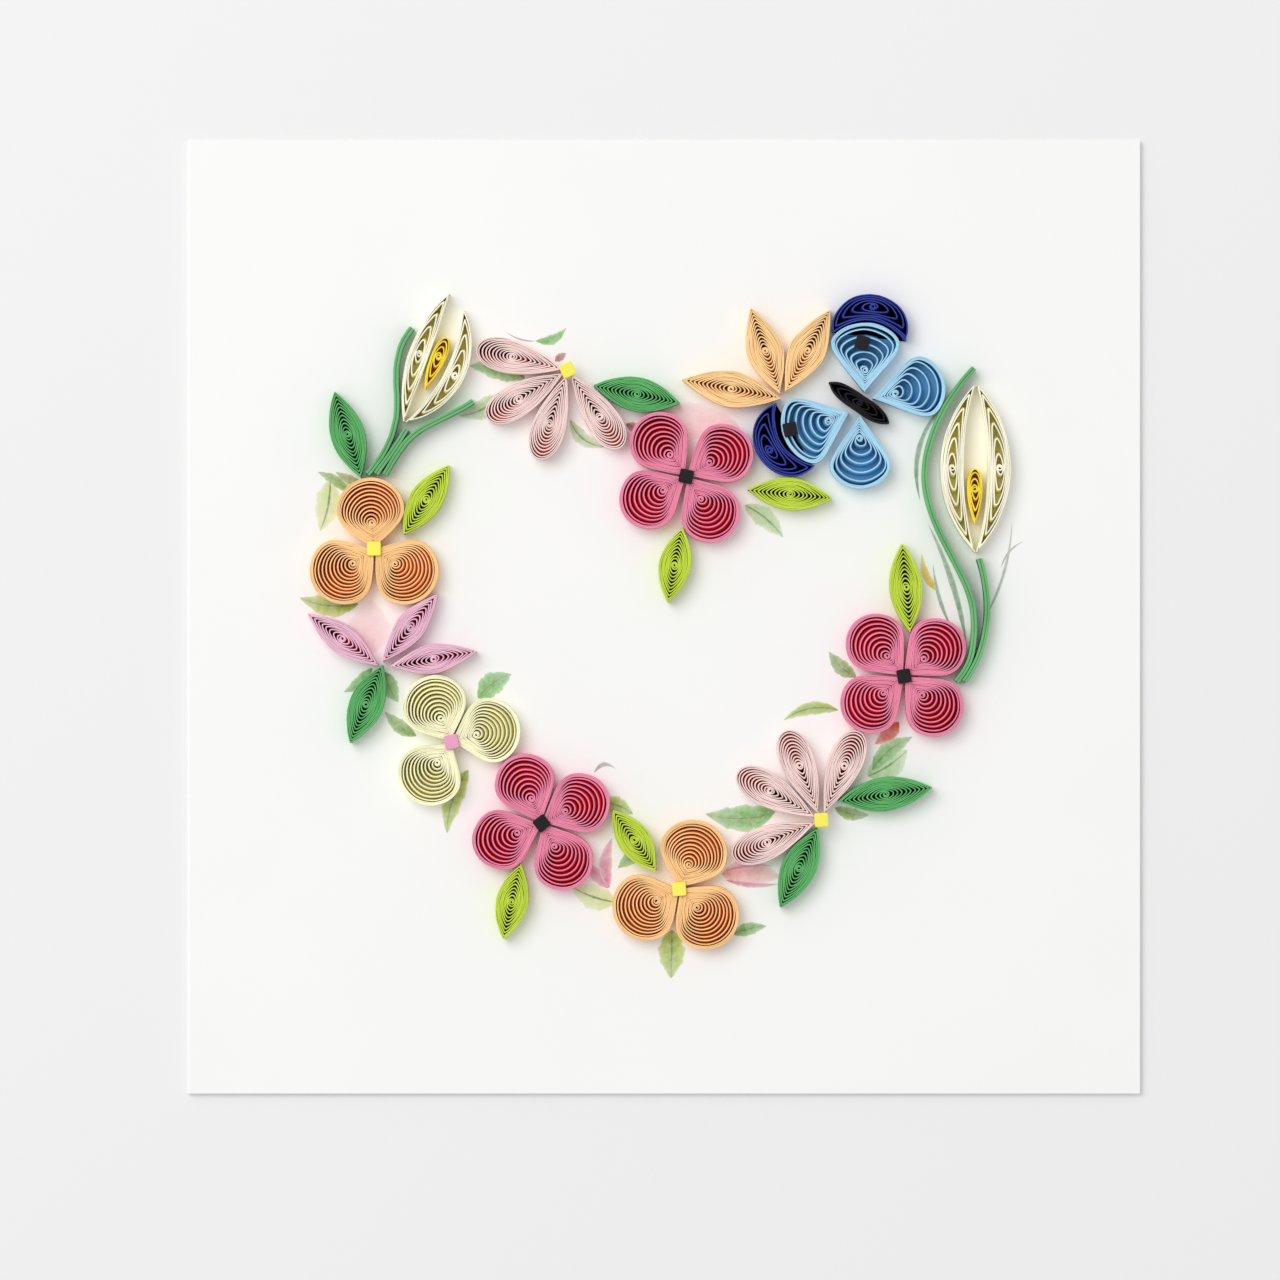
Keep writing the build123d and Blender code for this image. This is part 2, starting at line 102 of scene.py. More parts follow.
# %% [markdown]
# ## Camera
# A long lens from about a metre above keeps the walls of the strips upright in the picture, as they are
# in the photograph. The lens is worked out so that the picture shows just as much of the table.

# %% Camera
CAMERA_HEIGHT = 0.9

camera = bpy.data.objects.new("camera", bpy.data.cameras.new("camera"))
camera.location = (*on_card((PICTURE_PX / 2, PICTURE_PX / 2)), CAMERA_HEIGHT)
camera.data.lens = camera.data.sensor_width * (CAMERA_HEIGHT - card_top) / (PICTURE_PX * pixel)
bpy.context.scene.collection.objects.link(camera)
bpy.context.scene.camera = camera
bpy.context.scene.view_settings.view_transform = "Standard"
print(f"lens {camera.data.lens:.0f} mm")

# %% [markdown]
# ## Light and floor
# The photograph has soft light from all round, with faint shadows to the right of the pieces.
# A bright even sky does most of the work, and a wide lamp at the upper left gives the soft shadows.
# Together they come to about one on a level sheet, so a colour renders about as it is written.

# %% Light
SKY_STRENGTH = 0.615
LAMP_WATTS = 15.3
LAMP_SIDE = 1.2
LAMP_PLACE = (-0.71, 0.61, 1.44)

sky = bpy.data.worlds.new("sky")
sky.use_nodes = True
sky.node_tree.nodes["Background"].inputs["Color"].default_value = (1, 1, 1, 1)
sky.node_tree.nodes["Background"].inputs["Strength"].default_value = SKY_STRENGTH
bpy.context.scene.world = sky

lamp = bpy.data.objects.new("lamp", bpy.data.lights.new("lamp", "AREA"))
lamp.data.energy = LAMP_WATTS
lamp.data.size = LAMP_SIDE
lamp.location = LAMP_PLACE
lamp.rotation_euler = (-lamp.location).to_track_quat("-Z", "Y").to_euler()
bpy.context.scene.collection.objects.link(lamp)
print(f"sky of strength {SKY_STRENGTH}, lamp of {LAMP_WATTS} W at {lamp.location.length:.2f} m")

# %% [markdown]
# ## Reading the route of a strip
# Each packed strip is an upright wall with a flat top. The rim of that top runs along one side of the
# strip, across its end, back along the other side and across the first end again.
# Reading the rim gives the strip's route and thickness, so no place has to be written down twice.

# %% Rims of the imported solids
ROUTE_STEP = 1.1 * MM
ROUTE_TURN = math.radians(16)


def top_rims(node):
    """Closed rims of the flat tops of a node's solids, each an array of places in order.

    The triangles with all corners at the highest level are the tops. An edge that only one of them uses is
    on a rim, so each rim place knows the next. Doubling the hops puts the places in order: after k rounds
    each place knows how many steps it is from its rim's first place, up to two to the power k.
    """
    mesh = frame["nodes"][node].data
    mesh.calc_loop_triangles()
    places = np.empty(3 * len(mesh.vertices))
    mesh.vertices.foreach_get("co", places)
    corners = np.empty(3 * len(mesh.loop_triangles), int)
    mesh.loop_triangles.foreach_get("vertices", corners)
    places, welded = np.unique(places.reshape(-1, 3).round(8), axis=0, return_inverse=True)
    corners = welded.reshape(-1)[corners].reshape(-1, 3)
    high = places[:, 2] > places[:, 2].max() - 1e-7
    tops = corners[high[corners].all(1)]
    start, end = tops.ravel(), np.roll(tops, -1, 1).ravel()
    alone = ~np.isin(start * len(places) + end, end * len(places) + start)
    rim_places = np.unique(start[alone])
    following = np.empty(len(rim_places), int)
    following[np.searchsorted(rim_places, start[alone])] = np.searchsorted(rim_places, end[alone])

    own = np.arange(len(rim_places))
    first, hop = own.copy(), following.copy()
    for _ in range(len(own).bit_length()):
        first, hop = np.minimum(first, first[hop]), hop[hop]
    steps = (first != own).astype(int)
    hop = np.where(steps, following, own)
    for _ in range(len(own).bit_length()):
        steps, hop = steps + steps[hop], hop[hop]
    rims = []
    for name in np.unique(first):
        members = np.flatnonzero(first == name)
        rims.append(places[rim_places[members[np.argsort(-steps[members])]], :2])
    return rims


def parallel(side, reach):
    """Line beside a line at a signed reach to its left, mitred at its corners, and the mitred normals.

    The normal at a corner is square to the sum of the two unit runs that meet there, and longer by one
    over the cosine of half the turn, up to twice.
    """
    run = np.diff(side, axis=0)
    run /= np.linalg.norm(run, axis=1, keepdims=True)
    both = np.vstack([run[:1], run]) + np.vstack([run, run[-1:]])
    size = np.linalg.norm(both, axis=1, keepdims=True).clip(1e-6)
    normal = np.stack([-both[:, 1], both[:, 0]], 1) / size * (2 / size.clip(1))
    return side + reach * normal, normal


def spaced(line):
    """The same line with fewer places, closer together where it turns.

    Each run of the line counts its length in steps plus half the turns at its two ends in steps, and the
    new places lie evenly along that count.
    """
    run = np.diff(line, axis=0)
    heading = np.unwrap(np.arctan2(run[:, 1], run[:, 0]))
    turn = np.concatenate([[0], np.abs(np.diff(heading)), [0]])
    count = np.linalg.norm(run, axis=1) / ROUTE_STEP + (turn[:-1] + turn[1:]) / 2 / ROUTE_TURN
    marks = np.concatenate([[0], count.cumsum()])
    wanted = np.linspace(0, marks[-1], int(marks[-1]) + 2)
    return np.stack([np.interp(wanted, marks, line[:, k]) for k in (0, 1)], 1)


def strip_route(rim):
    """Middle line of a strip from its outer end, its mitred normals, the inward sign and its thickness.

    The two ends are the rim's edges with a square turn at both corners. The longer of the two sides is the
    outer one, and the middle line lies half a thickness inside it.
    """
    step = np.roll(rim, -1, 0) - rim
    before = np.roll(step, 1, 0)
    turn = np.arctan2(before[:, 0] * step[:, 1] - before[:, 1] * step[:, 0], (before * step).sum(1))
    one, two = np.sort(np.argsort(np.minimum(turn, np.roll(turn, -1)))[-2:])
    thickness = np.linalg.norm(step[one])
    there = rim[one + 1:two + 1]
    back = np.roll(rim, -two - 1, 0)[:len(rim) - (two - one)][::-1]
    lengths = [np.linalg.norm(np.diff(side, axis=0), axis=1).sum() for side in (there, back)]
    side, inward = (there, 1) if lengths[0] > lengths[1] else (back, -1)
    if np.linalg.norm(side[0] - rim.mean(0)) < np.linalg.norm(side[-1] - rim.mean(0)):
        side, inward = side[::-1], -inward
    line, normal = parallel(spaced(side), inward * thickness / 2)
    return line, normal, inward, thickness


rims = {node: top_rims(node) for node in slot_of if node != "card"}
print(sum(len(found) for found in rims.values()), "rims")

# %% [markdown]
# ## Paper strips
# A strip of paper is a thin ribbon that stands on its edge. Its cut edge isn't sharp: a blade leaves it a
# little rounded and fuzzy. Nor are the turns of a coil level, because each one is pushed down by hand.
# The profile of the ribbon is swept along its route in one array, with a slow random dip of its top and a
# slow random lean. Cut fibres puff the paper up a little, so that turns which touch look like one band.
# A stem is thicker: it is two strips glued side by side, and a groove shows between them.
# Where the turns of a coil have room, they are taken to tip inwards at the top: in the photograph, strong
# colour shows in the gaps, as it would if the outer faces caught some light.

# %% Sweep a ribbon along a route
LIP = 0.09 * MM
DIP = 0.16 * MM
LEAN = 0.05 * MM
PUFF = 0.07 * MM
TILT_SHARE = 0.88
TILT_LIMIT = 0.5 * MM
# Limit of the depth, and so of the painted shade, on the freely lit outside of a coil
OUTSIDE_SHADE_DEPTH = 0.24 * MM
GROOVE = 0.5 * MM
DIP_WAVE, LEAN_WAVE, TONE_WAVE = 14 * MM, 9 * MM, 30 * MM
SAME_PLACE, ROOM_LIMIT = 0.05 * MM, 1.5 * MM
STRAIGHT_OUT = 0.77
CRISP_FOLD = math.radians(48)
strip_profile = (np.array([-1, -1, -0.62, 0, 0.62, 1, 1]),
                 np.array([1, LIP, LIP / 4, 0, LIP / 4, LIP, 1]))
stem_profile = (np.array([-1, -1, -0.8, -0.45, -0.08, 0, 0.08, 0.45, 0.8, 1, 1]),
                np.array([1, LIP, LIP / 4, 0, LIP, GROOVE, LIP, 0, LIP / 4, LIP, 1]))


def wander(along, wave, dice):
    """Slow random wave between 0 and 1 along a line: three sines of unlike length and random start."""
    waves = wave * np.array([1, 0.43, 0.19]) * dice.uniform(0.8, 1.2, 3)
    starts = dice.uniform(0, 2 * math.pi, 3)
    sines = np.sin(2 * math.pi * along[:, None] / waves + starts)
    return 0.5 + sines @ np.array([0.26, 0.16, 0.08])


def room_outside(line, outward):
    """Distance from each place to the next turn outside it, and zero where there is none near.

    The next turn is the nearest place that lies within about forty degrees of straight outwards, the
    angle whose cosine is the share that counts as straight out.
    """
    unit = outward / np.linalg.norm(outward, axis=1, keepdims=True)
    away = line[None] - line[:, None]
    distance = np.linalg.norm(away, axis=2)
    ahead = (away * unit[:, None]).sum(2) > STRAIGHT_OUT * distance
    room = np.where(ahead & (distance > SAME_PLACE), distance, np.inf).min(1)
    return np.where(room < ROOM_LIMIT, room, 0)


def ribbon(line, normal, inward, thickness, base, top, dice):
    """Places, faces and (along, depth) of a ribbon on edge.

    Each place is the middle line plus the profile's share of half the thickness along the normal, moved by
    the lean in proportion to its height, and outwards by the tilt in proportion to its depth. Its height is
    the ribbon's top, less the dip there, less the profile's drop, or the base. Depth, which sets the painted
    shade of the faces, is counted down from the ribbon's own crown, and no further than a limit on the
    outside of the outermost turn, which is lit freely and keeps pale. The tilt is a share of the room
    outside, evened out along the ribbon.
    """
    profile_across, profile_drop = strip_profile if thickness < GROOVE else stem_profile
    along = np.concatenate([[0], np.linalg.norm(np.diff(line, axis=0), axis=1).cumsum()])
    rows, columns = len(line), len(profile_across)
    crown = top - DIP * wander(along, DIP_WAVE, dice)
    height = np.maximum(crown[:, None] - profile_drop, base)
    lean = LEAN * (2 * wander(along, LEAN_WAVE, dice) - 1)
    room = room_outside(line, -inward * normal)
    tilt = (TILT_SHARE * (room - thickness - PUFF)).clip(0, TILT_LIMIT)
    tilt = np.convolve(tilt, np.ones(5) / 5, "same")
    up = (height - base) / (top - base)
    across = profile_across * (thickness + PUFF) / 2 + lean[:, None] * up - inward * tilt[:, None] * (1 - up)
    places = np.empty((rows, columns, 3))
    places[..., :2] = line[:, None] + across[..., None] * normal[:, None]
    places[..., 2] = height
    own = np.arange(rows * columns).reshape(rows, columns)
    beside = np.roll(own, -1, 1)
    quads = np.stack([own[:-1], own[1:], beside[1:], beside[:-1]], -1).reshape(-1, 4)
    ends = [own[0].tolist(), own[-1][::-1].tolist()]
    # The outside of the outermost turn is lit freely, so its depth, which sets the painted shade, stops at a
    # small limit
    outside = (room == 0)[:, None] & (inward * profile_across < 0)
    depth = np.where(outside, (crown[:, None] - height).clip(0, OUTSIDE_SHADE_DEPTH), crown[:, None] - height)
    route = np.stack([np.broadcast_to(along[:, None], height.shape), depth], -1)
    return places.reshape(-1, 3), quads.tolist() + ends, route.reshape(-1, 2)


def mesh_piece(name, places, faces, attributes=(), routes=None):
    """Mesh object with smooth faces, crisp folds, named attributes and a UV map from its routes."""
    mesh = bpy.data.meshes.new(name)
    mesh.from_pydata(places.tolist(), [], faces)
    mesh.shade_smooth()
    mesh.set_sharp_from_angle(angle=CRISP_FOLD)
    for title, values in attributes:
        kind, field = ("FLOAT", "value") if values.ndim == 1 else ("FLOAT_COLOR", "color")
        mesh.attributes.new(title, kind, "POINT").data.foreach_set(field, values.ravel().astype(np.float32))
    if routes is not None:
        corner_places = np.empty(len(mesh.loops), int)
        mesh.loops.foreach_get("vertex_index", corner_places)
        mesh.uv_layers.new(name="route").uv.foreach_set("vector", (routes / MM)[corner_places].ravel())
    piece = bpy.data.objects.new(name, mesh)
    bpy.context.scene.collection.objects.link(piece)
    return piece


def joined_faces(parts):
    """Faces of several parts in one list: each part's corners are shifted by the places before it."""
    shifts = np.cumsum([0] + [len(part[0]) for part in parts])
    return [[corner + shift for corner in face] for part, shift in zip(parts, shifts) for face in part[1]]


def stand_for(piece, node):
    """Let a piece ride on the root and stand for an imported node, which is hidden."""
    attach(piece, "root")
    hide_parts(node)


def paper_node(node):
    """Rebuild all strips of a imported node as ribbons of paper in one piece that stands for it."""
    low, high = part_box(node)
    dice = np.random.default_rng(zlib.crc32(node.encode()))
    parts = [ribbon(*strip_route(rim), low.z, high.z, dice) for rim in rims[node]]
    faces = joined_faces(parts)
    places, routes = (np.concatenate([part[k] for part in parts]) for k in (0, 2))
    tone = np.concatenate([wander(part[2][:, 0], TONE_WAVE, dice) for part in parts])
    piece = mesh_piece("paper_" + node, places, faces, [("tone", tone)], routes)
    stand_for(piece, node)
    return piece


# %% [markdown]
# ## Paper colour and painted shade
# Seen from above, the cut edge of coloured paper catches the light and looks paler than the faces inside a
# coil, which lie in shade and glow darker and stronger, since the light that gets there has already bounced
# off paper of the same colour. The outside of a coil is lit freely and stays pale.
# The material paints that shade: it mixes the edge colour and a darker, stronger face colour by the depth
# below the edge, lets the tone wander along the strip, and lays fine fibres along it.

# %% Paper material
# Depth below the edge, in millimetres, where the painted shade of the faces starts and where it is full
SHADE_START_DEPTH, FULL_SHADE_DEPTH = 0.16, 0.5


def linear(colour):
    """Linear colour of a screen colour given from 0 to 255."""
    share = np.array(colour) / 255
    return (*np.where(share <= 0.04045, share / 12.92, ((share + 0.055) / 1.055) ** 2.4), 1)


def add(tree, kind, **values):
    """Shader node with some of its settings or inputs filled in."""
    node = tree.nodes.new(kind)
    for name, value in values.items():
        if hasattr(node, name):
            setattr(node, name, value)
        else:
            node.inputs[name.replace("_", " ")].default_value = value
    return node


def new_material(name, roughness):
    """Empty matt material with its tree and shader."""
    material = bpy.data.materials.new(name)
    material.use_nodes = True
    shader = material.node_tree.nodes["Principled BSDF"]
    shader.inputs["Roughness"].default_value = roughness
    shader.inputs["Specular IOR Level"].default_value = 0.2
    return material, material.node_tree, shader


def mixed(tree, share, one, two):
    """Colour mix of two colours or colour sockets by a share socket."""
    mix = add(tree, "ShaderNodeMix", data_type="RGBA")
    tree.links.new(share, mix.inputs["Factor"])
    for socket, colour in ((mix.inputs["A"], one), (mix.inputs["B"], two)):
        if isinstance(colour, bpy.types.NodeSocket):
            tree.links.new(colour, socket)
        else:
            socket.default_value = colour
    return mix.outputs["Result"]


def paper_material(name, edge, face):
    """Coloured quilling paper: pale lit cut edge, a strong face colour painted as shade by depth, wandering
    tone and fibres along the strip.
    """
    material, tree, shader = new_material(name, 0.82)
    tone = add(tree, "ShaderNodeAttribute", attribute_name="tone").outputs["Fac"]
    route = add(tree, "ShaderNodeUVMap", uv_map="route").outputs["UV"]
    depth = add(tree, "ShaderNodeSeparateXYZ")
    tree.links.new(route, depth.inputs["Vector"])
    painted_shade_share = add(tree, "ShaderNodeMapRange")
    painted_shade_share.inputs["From Min"].default_value, painted_shade_share.inputs["From Max"].default_value = SHADE_START_DEPTH, FULL_SHADE_DEPTH
    tree.links.new(depth.outputs["Y"], painted_shade_share.inputs["Value"])
    stretch = add(tree, "ShaderNodeMapping", Scale=(1.5, 9, 1))
    tree.links.new(route, stretch.inputs["Vector"])
    fibres = add(tree, "ShaderNodeTexNoise", Scale=1.6, Detail=5, Roughness=0.65)
    tree.links.new(stretch.outputs["Vector"], fibres.inputs["Vector"])
    # Painted shade: the edge colour gives way to the darker face colour with depth below the edge
    colour = mixed(tree, painted_shade_share.outputs["Result"], linear(edge), linear(face))
    tinted = add(tree, "ShaderNodeHueSaturation")
    tree.links.new(colour, tinted.inputs["Color"])
    value = add(tree, "ShaderNodeMath", operation="MULTIPLY_ADD")
    value.inputs[1].default_value = 0.22
    value.inputs[2].default_value = 0.89
    tree.links.new(tone, value.inputs[0])
    speckle = add(tree, "ShaderNodeMath", operation="MULTIPLY_ADD")
    speckle.inputs[1].default_value = 0.3
    tree.links.new(fibres.outputs["Fac"], speckle.inputs[0])
    offset = add(tree, "ShaderNodeMath", operation="SUBTRACT")
    offset.inputs[1].default_value = 0.15
    tree.links.new(value.outputs[0], offset.inputs[0])
    tree.links.new(offset.outputs[0], speckle.inputs[2])
    tree.links.new(speckle.outputs[0], tinted.inputs["Value"])
    tree.links.new(tinted.outputs["Color"], shader.inputs["Base Color"])
    bump = add(tree, "ShaderNodeBump", Strength=0.35, Distance=0.03 * MM)
    tree.links.new(fibres.outputs["Fac"], bump.inputs["Height"])
    tree.links.new(bump.outputs["Normal"], shader.inputs["Normal"])
    return material


# Lit edge colour and face colour of each paper; the face colour is painted shade for the walls deep in a
# coil
paper_colours_and_shades = {
    "pink": ((238, 144, 174), (240, 34, 74)),
    "orange": ((255, 210, 150), (255, 164, 72)),
    "cream": ((254, 251, 214), (251, 245, 176)),
    "daisy": ((248, 222, 217), (248, 160, 148)),
    "apricot": ((255, 216, 158), (255, 176, 86)),
    "lilac": ((239, 194, 214), (234, 84, 132)),
    "dark_leaf": ((104, 184, 112), (28, 118, 62)),
    "light_leaf": ((202, 224, 76), (98, 126, 28)),
    "calla": ((255, 252, 230), (251, 243, 168)),
    "spadix": ((252, 228, 72), (244, 190, 18)),
    "stem": ((112, 182, 120), (62, 136, 84)),
    "wing_light": ((176, 220, 243), (122, 188, 226)),
    "wing_dark": ((58, 70, 164), (30, 36, 124)),
    "black": ((34, 31, 35), (16, 14, 16)),
    "square_yellow": ((251, 240, 98), (222, 192, 40)),
    "square_pink": ((236, 162, 197), (190, 90, 140)),
}
paper = {slot: paper_material("paper_" + slot, edge, face) for slot, (edge, face) in paper_colours_and_shades.items()}
print(len(paper), "paper colours")

# %% [markdown]
# ## Petals, leaves, stems and butterfly
# Every strip of the wreath is rebuilt the same way, whatever it shows: a petal is one coil pinched once, a
# leaf is pinched at both ends, a stem is a strip that isn't rolled at all.

# %% Rebuild the strips
strip_nodes = [node for node in slot_of if node != "card" and not node.startswith("squares")]
papers = {node: paper_node(node) for node in strip_nodes}
for node, piece in papers.items():
    piece.data.materials.append(paper[slot_of[node]])
print(len(papers), "pieces of paper,", sum(2 * len(p.data.polygons) for p in papers.values()), "triangles")

# %% [markdown]
# ## Small squares
# The flowers' middles and the spots on the wings are squares cut from stiff paper and glued on top.
# Each is a pad whose outline is a square with slightly blunt corners. Rings of that outline, drawn in near
# the top, round its upper edge as the pressure of a punch does.

# %% Rebuild the squares
CORNER_POWER = 14
RING_POINTS = 40
BEVEL = 0.07 * MM
pad_scale = np.array([1, 1, 0.975, 0.93, 0.6, 0.3])
pad_drop = np.array([1, BEVEL, BEVEL / 4, 0, 0, 0])


def pad(rim, base, top):
    """Places and faces of a square pad between two heights.

    The outline is a power curve: its reach at an angle is one over the root, of the corner power, of the
    sum of the cosine and the sine to that power. The rim's two half sides stretch and turn it.
    """
    angle = np.linspace(0, 2 * math.pi, RING_POINTS, endpoint=False)
    unit = np.stack([np.cos(angle), np.sin(angle)], 1)
    unit /= (np.abs(unit) ** CORNER_POWER).sum(1, keepdims=True) ** (1 / CORNER_POWER)
    middle = rim.mean(0)
    halves = np.stack([(rim[1] - rim[0]) / 2, (rim[2] - rim[1]) / 2])
    places = np.empty((len(pad_scale), RING_POINTS, 3))
    places[..., :2] = middle + pad_scale[:, None, None] * (unit @ halves)
    places[..., 2] = np.maximum(top - pad_drop, base)[:, None]
    own = np.arange(len(pad_scale) * RING_POINTS).reshape(len(pad_scale), RING_POINTS)
    beside = np.roll(own, -1, 1)
    quads = np.stack([own[:-1], beside[:-1], beside[1:], own[1:]], -1).reshape(-1, 4)
    return places.reshape(-1, 3), quads.tolist() + [own[0][::-1].tolist(), own[-1].tolist()]


def square_node(node):
    """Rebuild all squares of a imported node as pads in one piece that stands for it."""
    low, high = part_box(node)
    dice = np.random.default_rng(zlib.crc32(node.encode()))
    parts = [pad(rim, low.z, high.z) for rim in rims[node]]
    faces = joined_faces(parts)
    places = np.concatenate([part[0] for part in parts])
    tone = np.repeat(dice.uniform(0.3, 0.7, len(parts)), len(pad_scale) * RING_POINTS)
    # Route for the fibres, and depth below the top, which sets the painted shade on the pad's sides
    routes = np.stack([places[:, 0] + places[:, 1], high.z - places[:, 2]], 1)
    piece = mesh_piece("paper_" + node, places, faces, [("tone", tone)], routes)
    piece.data.materials.append(paper[slot_of[node]])
    stand_for(piece, node)
    return piece


square_pieces = [square_node(node) for node in slot_of if node.startswith("squares")]
print(len(square_pieces), "pieces of squares")

# %% [markdown]
# ## Card
# The card is one stiff sheet, folded once at its left edge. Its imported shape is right, so it keeps it and
# gets the finish of uncoated board: nearly white, a little uneven, with a fine tooth that catches the light.

# %% Card material
CARD_WHITE, CARD_SHADE = (250, 250, 248), (247, 247, 246)


def board_tooth(tree, shader):
    """Fine uneven surface of uncoated board, from noise in places of the object."""
    places = add(tree, "ShaderNodeTexCoord").outputs["Object"]
    tooth = add(tree, "ShaderNodeTexNoise", Scale=2600, Detail=4, Roughness=0.6)
    tree.links.new(places, tooth.inputs["Vector"])
    bump = add(tree, "ShaderNodeBump", Strength=0.25, Distance=0.02 * MM)
    tree.links.new(tooth.outputs["Fac"], bump.inputs["Height"])
    tree.links.new(bump.outputs["Normal"], shader.inputs["Normal"])
    return places


card_material, card_tree, card_shader = new_material("card_board", 0.75)
card_places = board_tooth(card_tree, card_shader)
cloud = add(card_tree, "ShaderNodeTexNoise", Scale=45, Detail=3)
card_tree.links.new(card_places, cloud.inputs["Vector"])
card_tree.links.new(mixed(card_tree, cloud.outputs["Fac"], linear(CARD_SHADE), linear(CARD_WHITE)),
                    card_shader.inputs["Base Color"])
card_object = frame["nodes"]["card"]
card_object.data.materials.clear()
card_object.data.materials.append(card_material)
print("card of board white", CARD_WHITE)

# %% [markdown]
# ## Print on the card
# Under the wreath the card is printed with loose watercolour: leaves, buds, blades of grass and pale
# washes. They are laid out here as plain shapes of one kind, a pointed or blunt blade from its foot to its
# tip. Places, widths and inks follow the photograph, and the outline is the same plain one for all.
# Each lies a hair above the card, below the glued strips.
# Under each coil lies one patch in the strong face colour of its paper, as wide as the coil's own outermost
# turn. It is not print but painted shade: it keeps the gaps between turns from greying and gives their
# depths the strong colour of the light that bounces between the walls. The photograph can't show it, but it
# keeps the gaps between turns from greying.
# Watercolour is darker in its heart, uneven where the pigment settles, and it has a soft rim.

# %% Lay out the print
INK_HEIGHT = 0.01 * MM
INK_STEP = 0.0006 * MM
BLADE_ROWS, BLADE_COLUMNS = 33, 11
# Cover of the patches of painted shade under the coils: above one, so they are solid
GAP_SHADE_COVER = 1.6
LEAF_PX, VEIN_PX = 12, 2.4

inks = {
    "lime": ((150, 182, 44), (192, 208, 84)),
    "moss": ((118, 156, 66), (160, 190, 110)),
    "green": ((104, 170, 80), (150, 202, 122)),
    "pale_green": ((172, 200, 146), (206, 222, 186)),
    "pale_lime": ((206, 218, 150), (226, 232, 186)),
    "olive": ((138, 140, 62), (176, 178, 104)),
    "rose": ((206, 118, 150), (240, 204, 216)),
    "blush": ((240, 208, 208), (248, 232, 230)),
    "peach": ((228, 158, 158), (246, 218, 214)),
    "red": ((212, 84, 54), (228, 126, 92)),
    "mustard": ((226, 184, 28), (236, 206, 70)),
    "brown": ((152, 98, 90), (196, 152, 144)),
    "grass": ((120, 150, 122), (176, 196, 174)),
    "grey": ((158, 164, 156), (206, 210, 204)),
    # cream is painted shade inside the callas, not print
    "cream": ((250, 247, 230), (250, 249, 242)),
    "mist": ((226, 234, 222), (240, 243, 237)),
    "vein": ((98, 132, 48), (136, 166, 88)),
}
# Foot and tip in pixels, width in pixels, sideways bow as a share of the length, ink
blades = [
    ((330, 480), (320, 531), 26, 0.06, "pale_lime"), ((350, 492), (318, 472), 11, -0.05, "moss"),
    ((362, 484), (336, 472), 10, 0.05, "olive"), ((358, 604), (300, 598), 22, 0.08, "lime"),
    ((366, 655), (372, 600), 44, 0.0, "blush"), ((525, 378), (470, 366), 22, -0.06, "green"),
    ((500, 395), (459, 416), 20, 0.1, "pale_green"), ((536, 341), (566, 328), 10, -0.16, "green"),
    ((536, 341), (505, 331), 2, 0.1, "grey"), ((555, 361), (566, 353), 8, 0.0, "brown"),
    ((570, 420), (606, 447), 14, -0.16, "pale_green"), ((626, 424), (644, 432), 10, 0.0, "brown"),
    ((740, 428), (648, 404), 34, 0.04, "blush"), ((745, 505), (783, 537), 20, 0.06, "pale_green"),
    ((372, 668), (344, 692), 14, 0.1, "green"), ((385, 672), (398, 702), 18, -0.06, "green"),
    ((416, 736), (385, 712), 14, 0.06, "moss"), ((478, 698), (511, 674), 23, 0.08, "green"),
    ((468, 770), (447, 833), 20, -0.08, "lime"), ((594, 773), (616, 769), 5, 0.3, "grey"),
    ((600, 802), (633, 814), 17, 0.08, "lime"), ((642, 848), (618, 868), 14, 0.0, "green"),
    ((608, 888), (583, 864), 14, -0.06, "rose"), ((609, 888), (612, 838), 13, 0.1, "rose"),
    ((616, 902), (571, 886), 25, 0.06, "pale_lime"), ((672, 930), (671, 978), 26, 0.0, "lime"),
    ((733, 934), (766, 926), 13, 0.04, "green"), ((722, 874), (780, 877), 28, 0.05, "peach"),
    ((775, 812), (706, 814), 26, 0.08, "green"), ((835, 808), (869, 815), 13, -0.08, "moss"),
    ((939, 592), (922, 554), 8, 0.12, "mustard"), ((856, 677), (829, 652), 15, 0.08, "moss"),
    ((838, 710), (784, 720), 13, -0.12, "lime"), ((899, 722), (875, 744), 15, 0.06, "red"),
    ((868, 776), (907, 750), 28, -0.06, "pale_green"), ((872, 770), (912, 737), 18, 0.08, "green"),
    ((980, 604), (952, 440), 26, 0.08, "mist"), ((951, 627), (933, 564), 4, 0.05, "grass"),
    ((966, 642), (928, 524), 6, -0.04, "grass"), ((985, 618), (1012, 521), 3, -0.06, "grey"),
    ((1001, 568), (1024, 541), 2, 0.12, "grey"), ((920, 500), (946, 402), 5, 0.14, "grass"),
    # The two cream washes inside the callas are painted shade: the cream tint that the shade takes inside
    # each flower
    ((974, 552), (974, 388), 56, 0.0, "cream"), ((408, 421), (456, 304), 40, 0.02, "cream"),
    ((726, 871), (772, 866), 5, 0.06, "rose"), ((726, 880), (778, 884), 6, -0.05, "rose"),
]
# The wider green leaves have a thin dark vein along their middle
blades += [(foot, tip, VEIN_PX, bow, "vein") for foot, tip, width, bow, ink in blades
           if width > LEAF_PX and ink in ("lime", "moss", "green", "pale_green", "pale_lime")]


